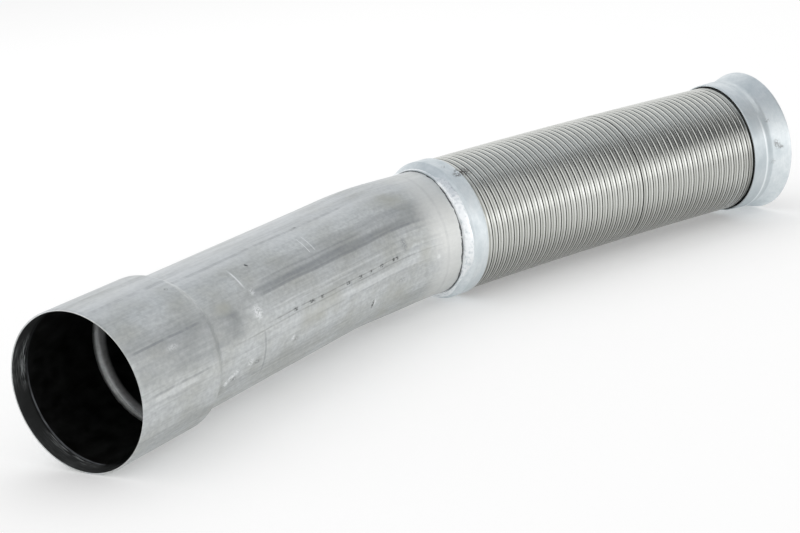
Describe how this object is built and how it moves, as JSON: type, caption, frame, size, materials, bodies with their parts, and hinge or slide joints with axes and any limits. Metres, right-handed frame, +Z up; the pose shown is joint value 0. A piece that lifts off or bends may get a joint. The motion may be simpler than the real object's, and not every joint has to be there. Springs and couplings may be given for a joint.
{
  "type": "exhaust pipe",
  "caption": "Bent steel exhaust pipe with a widened socket, joined by a welded collar to a stripwound flexible hose that ends in a flared ferrule.",
  "frame": {"origin": "centre of the socket's mouth", "axes": "+Z up from the floor that the pipe lies on, +X along the floor in line with the socket, away from its mouth"},
  "size_m": [0.8867, 0.327, 0.1463],
  "materials": {
    "aluminised_steel": "matte, dip-coated",
    "weld_metal": "rippled weld run",
    "zinc_plate": "zinc-plated, pale bluish",
    "stainless_strip": "cold-rolled stainless strip"
  },
  "bodies": {
    "pipe": {"front_pipe": "aluminised_steel", "weld_bead": "weld_metal", "front_collar": "zinc_plate", "strip_hose": "stainless_strip"},
    "flange_end": {"rear_ferrule": "zinc_plate", "rear_sleeve": "aluminised_steel"}
  },
  "joints": [
    {"name": "hose_bend", "type": "hinge", "parent": "pipe", "child": "flange_end", "pos_m": [0.65287, -0.09847, 0.00425], "axis": [0, 0, 1], "range_deg": [-15, 15], "deforming": ["strip_hose"]}
  ]
}
